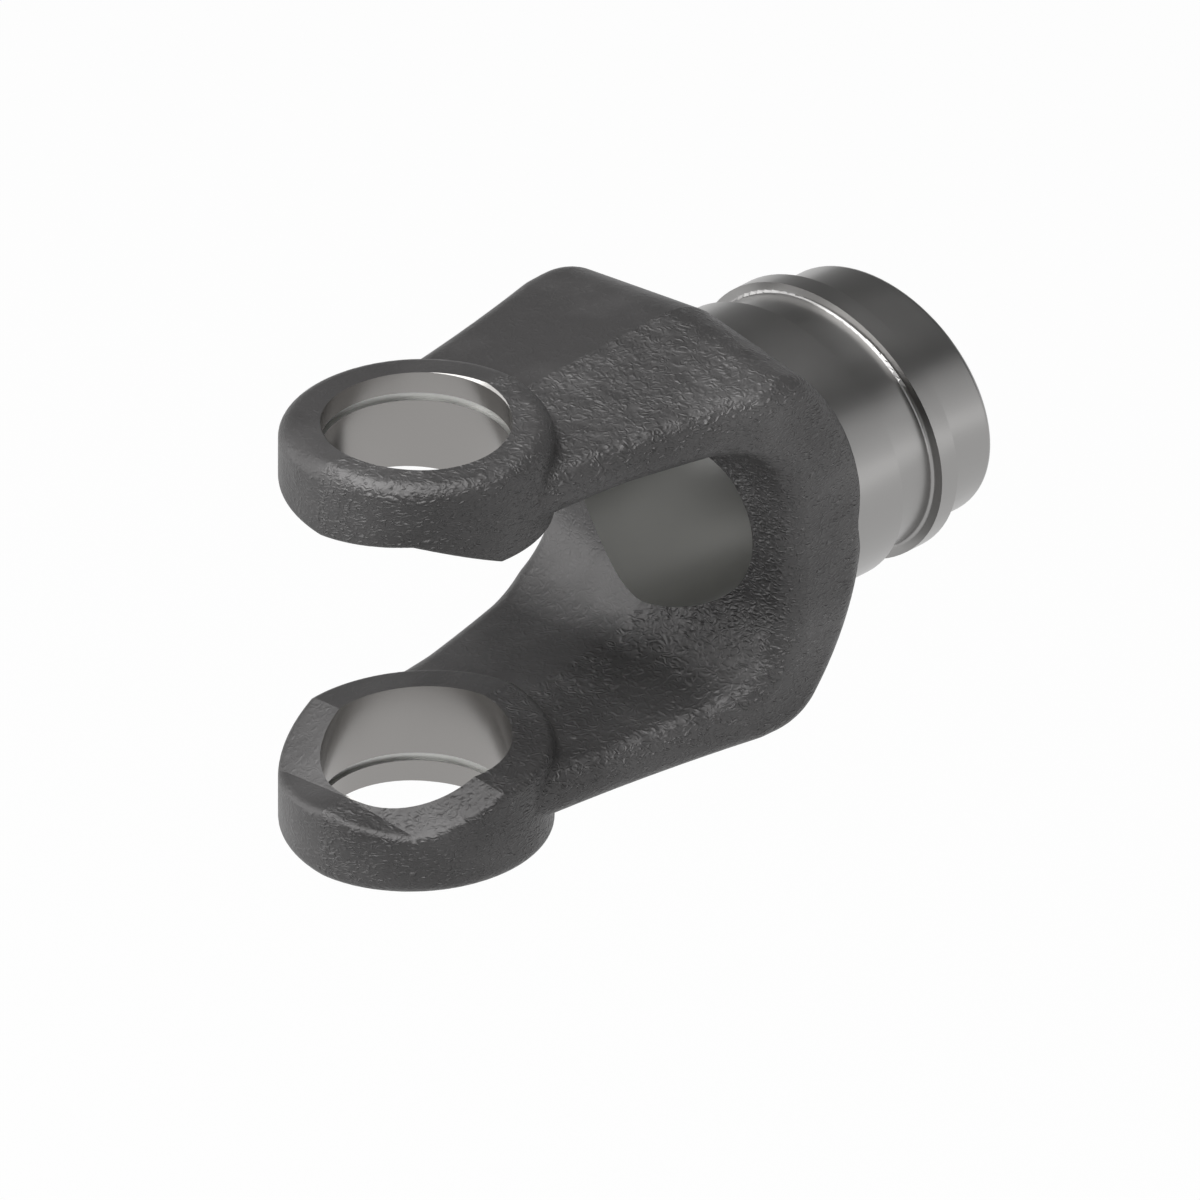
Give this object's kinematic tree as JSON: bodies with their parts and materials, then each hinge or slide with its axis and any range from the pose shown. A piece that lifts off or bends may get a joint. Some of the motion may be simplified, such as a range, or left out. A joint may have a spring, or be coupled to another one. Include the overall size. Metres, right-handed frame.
{
  "type": "forged yoke",
  "caption": "Forged steel universal joint yoke: a fork with bored ears for bearing cups and a hollow turned hub with groove, collar and tube pilot.",
  "frame": {"origin": "joint centre: where the axis of the two ear bores crosses the hub axis", "axes": "+X from the joint centre out along the hub, +Z along the ear bores, Y across the arms"},
  "size_m": [0.0986, 0.043, 0.0712],
  "materials": {
    "steel": "as-forged grey skin with machined bores and hub"
  },
  "bodies": {
    "root": {"forged_yoke": "steel"}
  },
  "joints": []
}
